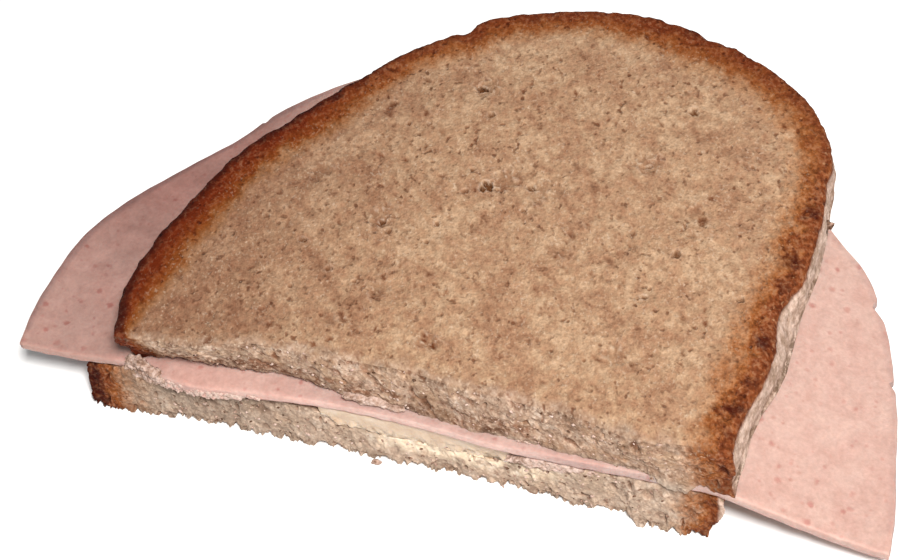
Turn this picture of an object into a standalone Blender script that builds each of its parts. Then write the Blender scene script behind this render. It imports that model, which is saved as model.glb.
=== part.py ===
"""Half of a meat and cheese sandwich, cut through the middle.

Two half slices of rye-wheat bread hold a layer of cheese and half of a large round slice
of pink sausage, which sticks out past the crust on both sides. The straight cut faces -Y.
Each piece is shaped with X along the cut from the upper slice's left end, Y away from the
cut and Z up from the table. The last step sets all of them so that the origin is at the
middle of the underside.
"""

import math

import bmesh
import bpy
from mathutils import Vector, noise

MM = 0.001

# bread
CUT_LENGTH = 88.7 * MM  # upper slice, crust to crust along the cut
CUT_DEPTH = 74 * MM  # upper slice, from the cut to the far crust
LOWER_LENGTH = 93.4 * MM  # lower slice, crust to crust along the cut
LOWER_START = -8.4 * MM  # how far left of the upper slice it begins
LOWER_DEPTH = 0.985  # its depth as a share of the upper slice's
UPPER_FOOT = 12.4 * MM  # height of the upper slice's underside
UPPER_THICKNESS = 7.9 * MM
UPPER_GROWS = 0.7 * MM  # extra thickness at the right end
LOWER_THICKNESS = 8.8 * MM
LOWER_GROWS = 0.8 * MM
EDGE_ROUND = 0.5 * MM  # how far the crust's edges draw in
WALL_TAPER = 0.6 * MM  # how far the foot of the crust draws in
UNEVEN = 0.22 * MM  # waviness of the broad faces
UNEVEN_PITCH = 19 * MM
CUT_FADES = 16 * MM  # how far in from the cut its waves reach

# the knife's wavering line through each edge of the cut bread, in mm
UPPER_CUT_TOP = ((0, -1), (10, -0.3), (21, 2.2), (42, 2.6), (52, 1.5), (65, 0.9), (75, -1), (88, 0))
UPPER_CUT_FOOT = ((0, 2.4), (12, 2.9), (24, 3.4), (33, 2.1), (45, 1.9), (57, 0.7), (74, 0.3), (88, -0.4))
LOWER_CUT_TOP = ((-8, 0.9), (40, 1.1), (85, 0.2))
LOWER_CUT_FOOT = ((-8, 0), (8, 1.4), (32, 1.1), (45, 0.6), (56, 1.4), (76, -0.7), (85, 0))

# the crust's run over one half slice, from the left end of the cut to the right end
CRUST = (
    (-0.4, 0),
    (-2.4, 11),
    (0.8, 26),
    (12, 47.1),
    (26, 63.5),
    (37, 70.7),
    (54.6, 73.6),
    (70, 69.4),
    (82.5, 61.5),
    (89.5, 50),
    (90.6, 38),
    (88.9, 20),
    (88.3, 0),
)

# sausage
SAUSAGE_MIDDLE = (44.8 * MM, 3.6 * MM)
SAUSAGE_THICKNESS = 1.6 * MM
SAUSAGE_BED = 10.5 * MM  # height of its underside between the slices
SAUSAGE_SINKS = 0.9 * MM  # lower bed at the left end, where there is no cheese
SAUSAGE_RIM = (  # bearing in degrees, radius in mm
    (183, 63.1),
    (174, 64.0),
    (162, 64.7),
    (150, 63.1),
    (140, 62.1),
    (132, 63.8),
    (120, 65.0),
    (105, 63.6),
    (80, 62.6),
    (55, 62.4),
    (43, 62.2),
    (35, 63.6),
    (22, 62.5),
    (9, 62.0),
    (-3.6, 63.4),
)
SAUSAGE_CUT = (  # the knife's line through it, in mm
    (-8, 1),
    (-2, 1.3),
    (5, 0),
    (11, -0.6),
    (20, 0.2),
    (33, 0.9),
    (46, 0.5),
    (58, -0.3),
    (88, -0.1),
)
DROOP = 6.8 * MM  # how far the right side hangs
DROOP_START = 84 * MM
DROOP_RUN = 24 * MM
LIFT = 0.9 * MM  # how far the left side curls up
LIFT_START = -9 * MM
LIFT_RUN = 9 * MM

# cheese
CHEESE_TOP = 10.2 * MM
HOLLOW = 2.9 * MM  # how deep it is pressed into the lower slice
HOLLOW_MIDDLE = (47 * MM, 22 * MM)
HOLLOW_REACH = (24 * MM, 20 * MM)
CHEESE_SIDE = (  # its outline from the left end of its cut edge to the right end, in mm
    (28.5, 0.8),
    (27, 10),
    (27.5, 26),
    (33, 41),
    (47, 47),
    (60, 41),
    (66, 26),
    (66.5, 10),
    (65.5, 0.8),
)

GAP = 0.3 * MM  # air between neighbouring solids


def spline(anchors):
    """Points along a smooth curve through the anchors, about 24 to each span."""
    points = [Vector(a) for a in anchors]
    points = [2 * points[0] - points[1], *points, 2 * points[-1] - points[-2]]
    run = []
    for a, b, c, d in zip(points, points[1:], points[2:], points[3:]):
        for step in range(24):
            t = step / 24
            run.append(
                0.5
                * (
                    2 * b
                    + (c - a) * t
                    + (2 * a - 5 * b + 4 * c - d) * t * t
                    + (3 * b - a - 3 * c + d) * t**3
                )
            )
    return [*run, points[-2]]


def along(run, share):
    """The point at a share of the run's length."""
    lengths = [0]
    for a, b in zip(run, run[1:]):
        lengths.append(lengths[-1] + (b - a).length)
    wanted = min(max(share, 0), 1) * lengths[-1]
    for a, b, low, high in zip(run, run[1:], lengths, lengths[1:]):
        if wanted <= high:
            return a.lerp(b, (wanted - low) / (high - low))
    return run[-1]


def millimetres(anchors):
    return [(x * MM, y * MM) for x, y in anchors]


def patch(front, rim, columns, rows, turns=(0.3, 0.7)):
    """Fills a rim and the cut across its ends with a grid, as plan[row][column].

    The rim's run is split at the two turns into the grid's left, far and right sides.
    """
    lower = [along(front, i / columns) for i in range(columns + 1)]
    left = [along(rim, turns[0] * j / rows) for j in range(rows + 1)]
    right = [along(rim, 1 - (1 - turns[1]) * j / rows) for j in range(rows + 1)]
    span = turns[1] - turns[0]
    upper = [along(rim, turns[0] + span * i / columns) for i in range(columns + 1)]
    plan = []
    for j in range(rows + 1):
        v = j / rows
        row = []
        for i in range(columns + 1):
            u = i / columns
            edges = (
                (1 - v) * lower[i] + v * upper[i] + (1 - u) * left[j] + u * right[j]
            )
            corners = (
                (1 - u) * (1 - v) * lower[0]
                + u * (1 - v) * lower[-1]
                + (1 - u) * v * upper[0]
                + u * v * upper[-1]
            )
            row.append(edges - corners)
        plan.append(row)
    return plan


def slab(name, plan, layers, shape, material):
    """A closed slab over a plan, as layers of quads. shape(x, y, share of the height)
    gives each corner's place."""
    rows, columns = len(plan) - 1, len(plan[0]) - 1
    bm = bmesh.new()
    bmesh.ops.create_grid(bm, x_segments=columns, y_segments=rows, size=0.5)
    grown = bmesh.ops.extrude_face_region(bm, geom=bm.faces[:])["geom"]
    raised = [g for g in grown if isinstance(g, bmesh.types.BMVert)]
    bmesh.ops.translate(bm, vec=(0, 0, 1), verts=raised)
    for level in range(1, layers):
        everything = [*bm.verts, *bm.edges, *bm.faces]
        height = (0, 0, level / layers)
        bmesh.ops.bisect_plane(bm, geom=everything, plane_co=height, plane_no=(0, 0, 1))
    for vert in bm.verts:
        column = round((vert.co.x + 0.5) * columns)
        row = round((vert.co.y + 0.5) * rows)
        spot = plan[row][column]
        vert.co = shape(spot.x, spot.y, vert.co.z)
    bmesh.ops.recalc_face_normals(bm, faces=bm.faces)
    mesh = bpy.data.meshes.new(name)
    bm.to_mesh(mesh)
    bm.free()
    mesh.materials.append(material)
    mesh.shade_smooth()
    mesh.set_sharp_from_angle(angle=math.radians(40))
    solid = bpy.data.objects.new(name, mesh)
    bpy.context.collection.objects.link(solid)
    return solid


def food(name, colour, roughness):
    material = bpy.data.materials.new(name)
    material.use_nodes = True
    surface = material.node_tree.nodes["Principled BSDF"]
    surface.inputs["Base Color"].default_value = (*colour, 1)
    surface.inputs["Roughness"].default_value = roughness
    surface.inputs["Metallic"].default_value = 0
    return material


def hump(distance, reach):
    """1 at the middle, falling smoothly towards 0 past the reach."""
    return math.exp(-((distance / reach) ** 2))


def ease(value):
    t = min(max(value, 0), 1)
    return t * t * (3 - 2 * t)


def uneven(x, y, seed):
    spot = Vector((x / UNEVEN_PITCH, y / UNEVEN_PITCH, seed))
    return UNEVEN * noise.noise(spot)


def drawn_in(x, y, share):
    """The crust bulges: its foot and its upper edge stand in from the middle. The cut
    stays where it is."""
    inset = EDGE_ROUND * abs(2 * share - 1) ** 3 + WALL_TAPER * (1 - share)
    middle = CUT_LENGTH / 2
    spot_x = middle + (x - middle) * (1 - inset / middle)
    return Vector((spot_x, y * (1 - inset / CUT_DEPTH)))


def cheese_hollow(x, y):
    across = abs(x - HOLLOW_MIDDLE[0]) / HOLLOW_REACH[0]
    deep = max(y - HOLLOW_MIDDLE[1], 0) / HOLLOW_REACH[1]
    return HOLLOW * ease(1.6 * (1 - across)) * ease(2 * (1.6 - deep))


def lower_top(x, y):
    """Height of the lower slice's upper face."""
    grown = LOWER_GROWS * (x - LOWER_START) / LOWER_LENGTH
    return LOWER_THICKNESS + grown - cheese_hollow(x, y)


def droop(x):
    """How far the sausage has fallen, right of the bread: at once, then less and less."""
    past = min(max(x - DROOP_START, 0) / DROOP_RUN, 1)
    return DROOP * (1 - (1 - 1.1 * past * past / (past + 0.1)) ** 1.45)


def sausage_under(x, y):
    """Height of the sausage's underside, over the bread and where it hangs free."""
    height = SAUSAGE_BED - SAUSAGE_SINKS * (1 - ease(x / (30 * MM)))
    past_left = max(LIFT_START - x, 0) / LIFT_RUN
    return height - droop(x) + LIFT * past_left**1.5


def cut_wave(anchors, x):
    """The knife's line at x, eased from anchor to anchor."""
    for (low, start), (high, end) in zip(anchors, anchors[1:]):
        if x <= high * MM:
            return (start + (end - start) * ease((x / MM - low) / (high - low))) * MM
    return anchors[-1][1] * MM


def moved_by_cut(spot, foot, top, share):
    """How far the cut's waves push a point of a slice away from the cut."""
    wave = cut_wave(foot, spot.x) * (1 - share) + cut_wave(top, spot.x) * share
    return wave * (1 - ease(spot.y / CUT_FADES))


def lower_slice(material):
    widen = LOWER_LENGTH / CUT_LENGTH
    crust = spline(millimetres(CRUST))
    rim = [Vector((LOWER_START + p.x * widen, p.y * LOWER_DEPTH)) for p in crust]
    plan = patch([rim[0], rim[-1]], rim, columns=26, rows=20)

    def shape(x, y, share):
        spot = drawn_in(x, y, share)
        push = moved_by_cut(spot, LOWER_CUT_FOOT, LOWER_CUT_TOP, share)
        height = (lower_top(x, y) + uneven(x, y, 3)) * share
        return spot.x, spot.y + push, height

    return slab("lower_bread", plan, 4, shape, material)


def upper_slice(material):
    rim = spline(millimetres(CRUST))
    plan = patch([rim[0], rim[-1]], rim, columns=26, rows=20)

    def shape(x, y, share):
        spot = drawn_in(x, y, share)
        push = moved_by_cut(spot, UPPER_CUT_FOOT, UPPER_CUT_TOP, share)
        thickness = UPPER_THICKNESS + UPPER_GROWS * x / CUT_LENGTH + uneven(x, y, 8)
        return spot.x, spot.y + push, UPPER_FOOT + thickness * share

    return slab("upper_bread", plan, 4, shape, material)


def sausage_slice(material):
    bearings = spline(SAUSAGE_RIM)
    middle = Vector(SAUSAGE_MIDDLE)
    rim = []
    for bearing, radius in bearings:
        angle = math.radians(bearing)
        rim.append(middle + radius * MM * Vector((math.cos(angle), math.sin(angle))))
    front = spline([rim[0], *millimetres(SAUSAGE_CUT), rim[-1]])
    plan = patch(front, rim, columns=34, rows=14)

    def shape(x, y, share):
        return x, y, sausage_under(x, y) + SAUSAGE_THICKNESS * share

    return slab("sausage_slice", plan, 1, shape, material)


def cheese_layer(material):
    rim = spline(millimetres(CHEESE_SIDE))
    plan = patch([rim[0], rim[-1]], rim, columns=14, rows=12)

    def shape(x, y, share):
        under = lower_top(x, y) + UNEVEN + GAP
        return x, y, under + (CHEESE_TOP - under) * share

    return slab("cheese_layer", plan, 1, shape, material)


def centre_on_base(solids):
    """Places the pieces, so that the origin is at the middle of the underside."""
    corners = [vert.co for solid in solids for vert in solid.data.vertices]
    low = Vector([min(c[axis] for c in corners) for axis in range(3)])
    high = Vector([max(c[axis] for c in corners) for axis in range(3)])
    middle = Vector(((low.x + high.x) / 2, (low.y + high.y) / 2, low.z))
    for solid in solids:
        solid.location = -middle


def main():
    for old in list(bpy.data.objects):
        bpy.data.objects.remove(old)
    shelf = bpy.data.collections.new("meat_and_cheese_sandwich")
    bpy.context.scene.collection.children.link(shelf)
    layers = bpy.context.view_layer.layer_collection.children
    bpy.context.view_layer.active_layer_collection = layers[shelf.name]

    solids = [
        lower_slice(food("lower_bread", (0.5, 0.34, 0.22), 0.85)),
        cheese_layer(food("cheese", (0.75, 0.56, 0.33), 0.55)),
        sausage_slice(food("sausage", (0.8, 0.48, 0.4), 0.4)),
        upper_slice(food("upper_bread", (0.47, 0.28, 0.16), 0.85)),
    ]
    centre_on_base(solids)


main()
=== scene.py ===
# Half of a meat and cheese sandwich, cut straight through: two half slices of dark bread
# round a layer of cheese and half of a big round slice of pink sausage.
# Shapes are worked out in millimetres with X along the cut from the upper slice's left
# corner, Y away from the cut and Z up. finishPiece() turns them into metres.
import math
from itertools import product

import bmesh
import bpy
import numpy as np
from mathutils import Matrix, Vector, kdtree


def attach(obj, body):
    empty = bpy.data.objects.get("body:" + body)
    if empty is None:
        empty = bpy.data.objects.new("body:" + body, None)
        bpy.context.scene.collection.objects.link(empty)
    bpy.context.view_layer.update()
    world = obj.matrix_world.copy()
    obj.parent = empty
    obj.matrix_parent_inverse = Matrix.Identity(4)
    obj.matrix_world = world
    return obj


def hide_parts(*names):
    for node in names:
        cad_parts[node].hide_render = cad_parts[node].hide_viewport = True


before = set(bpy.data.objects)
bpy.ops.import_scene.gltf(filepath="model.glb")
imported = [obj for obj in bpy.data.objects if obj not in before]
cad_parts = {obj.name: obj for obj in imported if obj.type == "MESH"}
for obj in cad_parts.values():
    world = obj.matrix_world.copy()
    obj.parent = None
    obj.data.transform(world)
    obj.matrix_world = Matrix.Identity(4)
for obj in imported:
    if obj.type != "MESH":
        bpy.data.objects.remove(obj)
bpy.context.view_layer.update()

middleOfBase = np.array((44.599, 36.205, 0.0))  # the frame's origin, seen from that corner


def ease(value):
    t = np.clip(value, 0, 1)
    return t * t * (3 - 2 * t)


def hashed(x, y, z, seed):
    # a repeatable whole number for each whole-numbered point
    n = x * 374761393 + y * 668265263 + z * 2147483629 + seed * 1274126177
    n = (n ^ (n >> 13)) & 0xFFFFFFFF
    n = (n * 1274126177) & 0xFFFFFFFF
    return (n ^ (n >> 16)) & 0xFFFF


spread = np.random.default_rng(5)
slopes = spread.normal(size=(256, 3))
slopes /= np.linalg.norm(slopes, axis=1)[:, None]


def noise(points, size, seed):
    # gradient noise, about -1 to 1, with bumps of about the given size
    p = points / size
    cell = np.floor(p).astype(np.int64)
    local = p - cell
    blend = local**3 * (local * (local * 6 - 15) + 10)
    total = np.zeros(len(p))
    for corner in product((0, 1), repeat=3):
        wx, wy, wz = np.where(corner, blend, 1 - blend).T
        slope = slopes[hashed(*(cell + corner).T, seed) & 255]
        total += wx * wy * wz * np.einsum("ij,ij->i", slope, local - corner)
    return total * 1.6


def roughNoise(points, size, seed, octaves=3, gain=0.5):
    total = np.zeros(len(points))
    share = 1.0
    for octave in range(octaves):
        total += share * noise(points, size / 2**octave, seed + 17 * octave)
        share *= gain
    return total


def grains(points, size, seed):
    # 1 at the heart of each grain, 0 in the creases between grains, and a number per grain
    p = points / size
    cell = np.floor(p).astype(np.int64)
    nearest = np.full(len(p), 9.0)
    second = np.full(len(p), 9.0)
    who = np.zeros(len(p))
    for step in product((-1, 0, 1), repeat=3):
        c = cell + step
        spot = np.stack([hashed(*c.T, seed + k) / 65535 for k in (1, 2, 3)], 1)
        away = np.linalg.norm(c + spot - p, axis=1)
        closer = away < nearest
        second = np.where(closer, nearest, np.minimum(second, away))
        who = np.where(closer, hashed(*c.T, seed + 9) / 65535, who)
        nearest = np.where(closer, away, nearest)
    return np.clip((second - nearest) * 1.4, 0, 1), who


def smoothRun(anchors, step=0.4):
    # points every step or so along a smooth curve through the anchors
    a = np.array(anchors, float)
    a = np.vstack([2 * a[0] - a[1], a, 2 * a[-1] - a[-2]])
    run = []
    for p0, p1, p2, p3 in zip(a, a[1:], a[2:], a[3:]):
        count = max(2, int(np.linalg.norm(p2 - p1) / step))
        t = (np.arange(count) / count)[:, None]
        run.append(0.5 * (2 * p1 + (p2 - p0) * t + (2 * p0 - 5 * p1 + 4 * p2 - p3) * t**2
                          + (3 * p1 - p0 - 3 * p2 + p3) * t**3))
    run.append(a[-2][None])
    return np.vstack(run)


def cutWave(anchors, x):
    # how far the knife wavered at x, eased from anchor to anchor
    xs, ys = np.array(anchors, float).T
    place = np.clip(np.searchsorted(xs, x) - 1, 0, len(xs) - 2)
    t = ease((x - xs[place]) / (xs[place + 1] - xs[place]))
    return ys[place] + (ys[place + 1] - ys[place]) * t


def meshOf(name, verts, faces):
    mesh = bpy.data.meshes.new(name)
    mesh.from_pydata([tuple(v) for v in verts], [], faces)
    mesh.update()
    return mesh


def pointsOf(mesh):
    flat = np.empty(len(mesh.vertices) * 3)
    mesh.vertices.foreach_get("co", flat)
    return flat.reshape(-1, 3)


def setPoints(mesh, points):
    mesh.vertices.foreach_set("co", points.astype(np.float32).ravel())
    mesh.update()


def normalsOf(mesh, points):
    setPoints(mesh, points)
    flat = np.empty(len(mesh.vertices) * 3)
    mesh.vertex_normals.foreach_get("vector", flat)
    return flat.reshape(-1, 3)


def edgesOf(mesh):
    flat = np.empty(len(mesh.edges) * 2, dtype=np.int64)
    mesh.edges.foreach_get("vertices", flat)
    return flat.reshape(-1, 2)


def relaxed(points, edges, rounds, amount=0.5):
    # each point moves towards the mean of its neighbours
    a, b = edges.T
    count = len(points)
    degree = np.bincount(a, minlength=count) + np.bincount(b, minlength=count)
    degree = np.maximum(degree, 1)[:, None]
    for _ in range(rounds):
        total = np.stack([np.bincount(a, points[b, k], count)
                          + np.bincount(b, points[a, k], count) for k in range(3)], 1)
        points = points + (total / degree - points) * amount
    return points


def hollowness(points, edges, normals, rounds):
    # how far each point lies below its smoothed surroundings, mm
    return np.einsum("ij,ij->i", relaxed(points, edges, rounds) - points, normals)


def modified(mesh, kind, chosen=None, **settings):
    # the mesh after one modifier, on the chosen points if there are any
    carrier = bpy.data.objects.new("carrier", mesh)
    bpy.context.scene.collection.objects.link(carrier)
    modifier = carrier.modifiers.new(kind, kind)
    if chosen is not None:
        group = carrier.vertex_groups.new(name="chosen")
        group.add(np.flatnonzero(chosen).tolist(), 1.0, "REPLACE")
        modifier.vertex_group = "chosen"
    for key, value in settings.items():
        setattr(modifier, key, value)
    view = carrier.evaluated_get(bpy.context.evaluated_depsgraph_get())
    result = bpy.data.meshes.new_from_object(view)
    bpy.data.objects.remove(carrier)
    return result


def evenBlank(levels, voxel):
    # a closed body through outlines with equally many points, with even small squares for faces
    count = len(levels[0])
    last = count * (len(levels) - 1)
    faces = [(low + i, low + count + i, low + count + (i + 1) % count, low + (i + 1) % count)
             for low in range(0, last, count) for i in range(count)]
    faces += [tuple(range(count)), tuple(range(last + count - 1, last - 1, -1))]
    return modified(meshOf("blank", np.vstack(levels), faces), "REMESH", mode="VOXEL", voxel_size=voxel)


def setValues(mesh, **layers):
    # a number at each point for the materials to read
    for name, values in layers.items():
        mesh.attributes.new(name, "FLOAT", "POINT").data.foreach_set("value", values.astype(np.float32))


def thinned(mesh, hidden):
    # hardly any faces where hidden is true, for the sides that no one sees
    return modified(mesh, "DECIMATE", hidden, ratio=1 - 0.95 * hidden.mean(), vertex_group_factor=10)


def finer(mesh, chosen):
    # twice as many faces each way where chosen
    bm = bmesh.new()
    bm.from_mesh(mesh)
    edges = [e for e in bm.edges if chosen[e.verts[0].index] and chosen[e.verts[1].index]]
    bmesh.ops.subdivide_edges(bm, edges=edges, cuts=1, use_grid_fill=True)
    bm.to_mesh(mesh)
    bm.free()
    return mesh


def finishPiece(name, mesh, material, node, slot):
    setPoints(mesh, (pointsOf(mesh) - middleOfBase) * 0.001)
    mesh.name = name
    mesh.materials.clear()
    mesh.materials.append(material)
    mesh.shade_smooth()
    piece = bpy.data.objects.new(name, mesh)
    bpy.context.scene.collection.objects.link(piece)
    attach(piece, "root")
    if node:
        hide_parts(node)
    mesh.calc_loop_triangles()
    print("made", name, "with", len(mesh.loop_triangles), "triangles")


def paint(red, green, blue):
    # a colour as picked on screen, turned into the shader's linear one
    parts = [part / 255 for part in (red, green, blue)]
    return (*(c / 12.92 if c <= 0.04045 else ((c + 0.055) / 1.055) ** 2.4 for c in parts), 1.0)


class Recipe:
    # one material's nodes, with a short name for each thing that they do. A colour of three
    # parts is as picked on screen, one of four is linear and mostly a tint

    def __init__(self, name):
        self.material = bpy.data.materials.new(name)
        self.material.use_nodes = True
        self.tree = self.material.node_tree
        self.surface = self.tree.nodes["Principled BSDF"].inputs
        place = self.add("ShaderNodeTexCoord").outputs["Object"]
        scaled = self.add("ShaderNodeVectorMath", {0: place, "Scale": 1000.0}, operation="SCALE")
        self.inMm = scaled.outputs[0]

    def put(self, value, socket):
        # a link or a plain value
        if isinstance(value, bpy.types.NodeSocket):
            self.tree.links.new(value, socket)
        elif socket.type == "RGBA" and len(value) == 3:
            socket.default_value = paint(*value)
        else:
            socket.default_value = value

    def add(self, kind, inputs=None, **settings):
        made = self.tree.nodes.new(kind)
        for key, value in settings.items():
            setattr(made, key, value)
        for key, value in (inputs or {}).items():
            self.put(value, made.inputs[key])
        return made

    def noise(self, where, size, detail=3.0, roughness=0.55):
        made = self.add("ShaderNodeTexNoise", {
            "Vector": where, "Scale": 1 / size, "Detail": detail, "Roughness": roughness})
        return made.outputs["Fac"]

    def calc(self, operation, a, b=0.0, clamp=False):
        return self.add("ShaderNodeMath", {0: a, 1: b}, operation=operation, use_clamp=clamp).outputs[0]

    def times(self, a, b):
        return self.calc("MULTIPLY", a, b)

    def most(self, a, b, clamp=False):
        return self.calc("MAXIMUM", a, b, clamp)

    def without(self, value):
        # 1 where the value is 0 and the other way round
        return self.calc("SUBTRACT", 1.0, value)

    def stretched(self, where, scale):
        return self.add("ShaderNodeVectorMath", {0: where, 1: scale}, operation="MULTIPLY").outputs[0]

    def remap(self, value, low, high, toLow=0.0, toHigh=1.0, smooth=False):
        made = self.add("ShaderNodeMapRange", {
            "Value": value, "From Min": low, "From Max": high, "To Min": toLow, "To Max": toHigh},
            interpolation_type="SMOOTHSTEP" if smooth else "LINEAR")
        return made.outputs["Result"]

    def mixed(self, share, a, b, blend="MIX"):
        made = self.add("ShaderNodeMix", data_type="RGBA", blend_type=blend)
        for index, value in ((0, share), (6, a), (7, b)):
            self.put(value, made.inputs[index])
        return made.outputs[2]

    def ramp(self, value, stops):
        made = self.add("ShaderNodeValToRGB", {"Fac": value})
        edge = made.color_ramp.elements
        edge[0].position, edge[1].position = stops[0][0], stops[-1][0]
        for position, _ in stops[1:-1]:
            edge.new(position)
        for stop, (_, color) in zip(edge, stops):
            stop.color = paint(*color)
        return made.outputs["Color"]

    def __getitem__(self, name):
        # a value that the mesh carries
        return self.add("ShaderNodeAttribute", attribute_name=name).outputs["Fac"]

    def across(self):
        # millimetres along the cut from the middle
        return self.add("ShaderNodeSeparateXYZ", {0: self.inMm}).outputs[0]

    def shaded(self, color, bright):
        grey = self.add("ShaderNodeCombineColor", {0: bright, 1: bright, 2: bright}).outputs[0]
        return self.mixed(1.0, color, grey, "MULTIPLY")

    def tinted(self, share, color, tint):
        return self.mixed(share, color, self.mixed(1.0, color, tint, "MULTIPLY"))

    def bump(self, height, distance, strength):
        made = self.add("ShaderNodeBump", {"Height": height, "Distance": distance, "Strength": strength})
        return made.outputs["Normal"]

    def finish(self, values):
        # the shader's own sockets
        for name, value in values.items():
            self.put(value, self.surface[name])
        return self.material


upperSlice = {
    "node": "upper_bread",
    "voxel": 0.372,
    "crust": [(-0.3, 0), (-2.5, 11), (0.7, 26), (11.8, 47.1), (25.5, 63.7), (36.9, 70.8), (54.6, 73.7),
              (70.2, 69.6), (82.9, 61.9), (89.9, 50.4), (90.8, 38), (89.1, 20), (88.4, 0)],
    "baseFoot": [(0, 88.3), (4, 88.6), (8, 88.4), (12, 88.9), (15.5, 89.9), (19, 90.4), (22, 90.3),
                 (25.5, 90.2), (29, 90.1), (36, 90.7), (43, 90.3), (50, 89.4)],
    "baseTop": [(0, 88.6), (3.3, 88.3), (8, 88.7), (11.4, 89.5), (14.7, 90), (18, 89.8), (21, 89.1),
                (24.2, 89.1), (26.4, 89.8), (28.5, 90.9), (33.5, 90.9), (40.7, 90.9), (45, 90.2),
                (50, 89.6)],
    # place, width and depth of each nick or bump
    "notches": [((29.2, 66.3), 1.3, 1.6), ((26.5, 64.4), 3.2, 0.7), ((66.8, 71.8), 1.2, 1.0),
                ((-2, 5), 5, -0.35), ((3.9, 35.9), 8, -1.2), ((-2.4, 13.0), 0.5, -0.6),
                ((-2.2, 8.2), 0.5, -0.55), ((0.4, 25.2), 0.5, -0.4), ((-1.6, 19), 0.5, -0.35)],
    "foot": 12.4,  # height of its underside
    "thickness": 7.9,
    "grows": 0.7,  # thicker on the right by this much
    "cutTop": [(-2, -1), (0, -1), (10, -0.3), (21, 2.2), (42, 2.6), (52, 1.5), (65, 0.9), (75, -1),
               (90, 0)],
    "cutFoot": [(-2, 2.4), (0, 2.4), (12, 2.9), (24, 3.4), (33, 2.1), (45, 1.9), (57, 0.7), (74, 0.3),
                (90, -0.4)],
    "lip": [(-2.5, 1.8), (-0.5, 1.6), (2.5, 0.8), (5, 0.2), (30, 0.1), (40, 0.4), (44, 1.3), (47, 1.9),
            (51, 1.9), (54, 0.9), (57.5, 0.5), (61, 0.9), (64, 1.1), (74, 1.1), (77, 1.6), (79.5, 2.3),
            (81.5, 2.2), (83.5, 1.2), (86, 1.3), (90, 1.2)],
    "holes": [(43.2, 36.2, 1.2), (40.1, 38.7, 0.55), (40.4, 34.6, 0.5), (49.6, 37.1, 0.65),
              (49.8, 32.9, 0.45), (45.5, 31.9, 0.4), (38.4, 27.9, 0.5), (38.2, 24.5, 0.5),
              (30.6, 27.0, 0.9), (31.8, 25.5, 0.55), (36.2, 54.1, 0.95), (27.7, 45.6, 0.5),
              (39.3, 49.2, 0.55), (60.7, 59.3, 0.35), (68.2, 55.3, 0.65), (77.3, 59.7, 0.5),
              (64.6, 44.4, 0.7), (71.0, 47.6, 0.5), (79.0, 46.5, 0.5), (83.6, 50.0, 0.45),
              (84.1, 40.9, 0.35), (72.7, 34.5, 0.35), (72.8, 29.5, 0.6), (70.5, 21.4, 0.75),
              (70.9, 23.1, 0.4), (83.3, 24.0, 0.45), (64.7, 14.3, 0.35), (65.8, 9.8, 0.35),
              (20.2, 21.5, 0.6), (26.0, 17.3, 0.5), (30.5, 16.1, 0.45), (15.5, 17.3, 0.4),
              (15.3, 9.8, 0.35), (8.7, 19.6, 0.4), (21.6, 13.1, 0.35)],
    "burns": [(86.7, 6.6, 1.8), (87.6, 32.0, 2.0), (87.8, 26.5, 1.6), (88.9, 40.7, 1.8),
              (87.2, 17.8, 1.4), (87.3, 11.5, 1.3), (87.1, 3.0, 1.2), (63.7, 70.6, 1.6),
              (40, 69.5, 1.8), (14, 48.5, 1.6)],
    "dents": [(44.3, 6.8, 2.2), (64.5, 44.6, 2.2), (45.5, 37.8, 2.4), (30, 27.4, 2.2), (12.3, 5.6, 1.1),
              (29.1, 7.8, 1.3), (37, 54.6, 2.2), (51, 36, 1.8), (53.7, 37.3, 1.5), (57, 27, 1.8),
              (34, 15, 1.6), (69.6, 11.8, 1.8), (73.5, 37, 1.7), (18, 34, 2.0)],
    "hiddenFrom": 5,  # how far in from the cut the hidden side starts to lose faces, mm
    "cutCrust": 2.0,  # how much wider the round side's crust is on the cut, mm
    "rightCrust": 1.0,
    "baseScorch": 1,
    "hollowTone": 1.0,  # how dark the torn hollows are
    "flourStart": 0.5,
    "seed": 3,
}

lowerSlice = {
    "node": "lower_bread",
    "voxel": 0.29,
    "crust": [(-9.3, 0), (-11.3, 11), (-7.4, 25.6), (4.6, 46.2), (19.3, 62.2), (30.9, 69.3),
              (49.4, 72.1), (65.6, 68.2), (78.8, 60.5), (86, 49.3), (87.3, 37.5), (85.5, 19.7), (85, 0)],
    "baseFoot": [(0, 84.0), (9, 84.7), (20, 85.8), (37, 87.4), (50, 86.2)],
    "baseTop": [(0, 86.9), (4, 86.4), (9, 86.0), (20, 86.0), (37, 87.3), (50, 86.2)],
    "notches": [],
    "foot": 0.0,
    "thickness": 8.8,
    "grows": 0.8,
    "cutTop": [(-10, 0.9), (-8, 0.9), (40, 1.1), (55, 0.7), (62, -0.3), (85, 0), (88, 0)],
    "cutFoot": [(-10, -0.6), (-8, -0.6), (0, 0), (8, 0.7), (20, 0.6), (30, 0.8), (40, 0.6), (44, 0.8),
                (47, 1.2), (50, 0.7), (56, 0.6), (64, 0.1), (68, 0), (71.3, 0.5), (74, -1.2),
                (80, -1.1), (85, -0.6), (88, -0.3)],
    "lip": [(-10, 0.2), (-7, 0.5), (-4, 1.8), (1, 2.2), (4, 1.3), (6.5, 0.7), (12, 0.4), (22, 0.2),
            (30, 0), (55, 0), (58, 0.8), (63, 1.2), (81, 1.1), (83, 0), (88, 0)],
    "holes": [],
    "burns": [(-7.6, 0.3, 1.6), (84.7, 0, 1.2)],
    "dents": [],
    "hiddenFrom": 3.5,
    "cutCrust": 3.6,
    "rightCrust": 0,
    "baseScorch": 0.4,
    "hollowTone": 0.5,
    "flourStart": -1.5,
    "cutPale": 0.42,
    "seed": 11,
}

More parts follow.
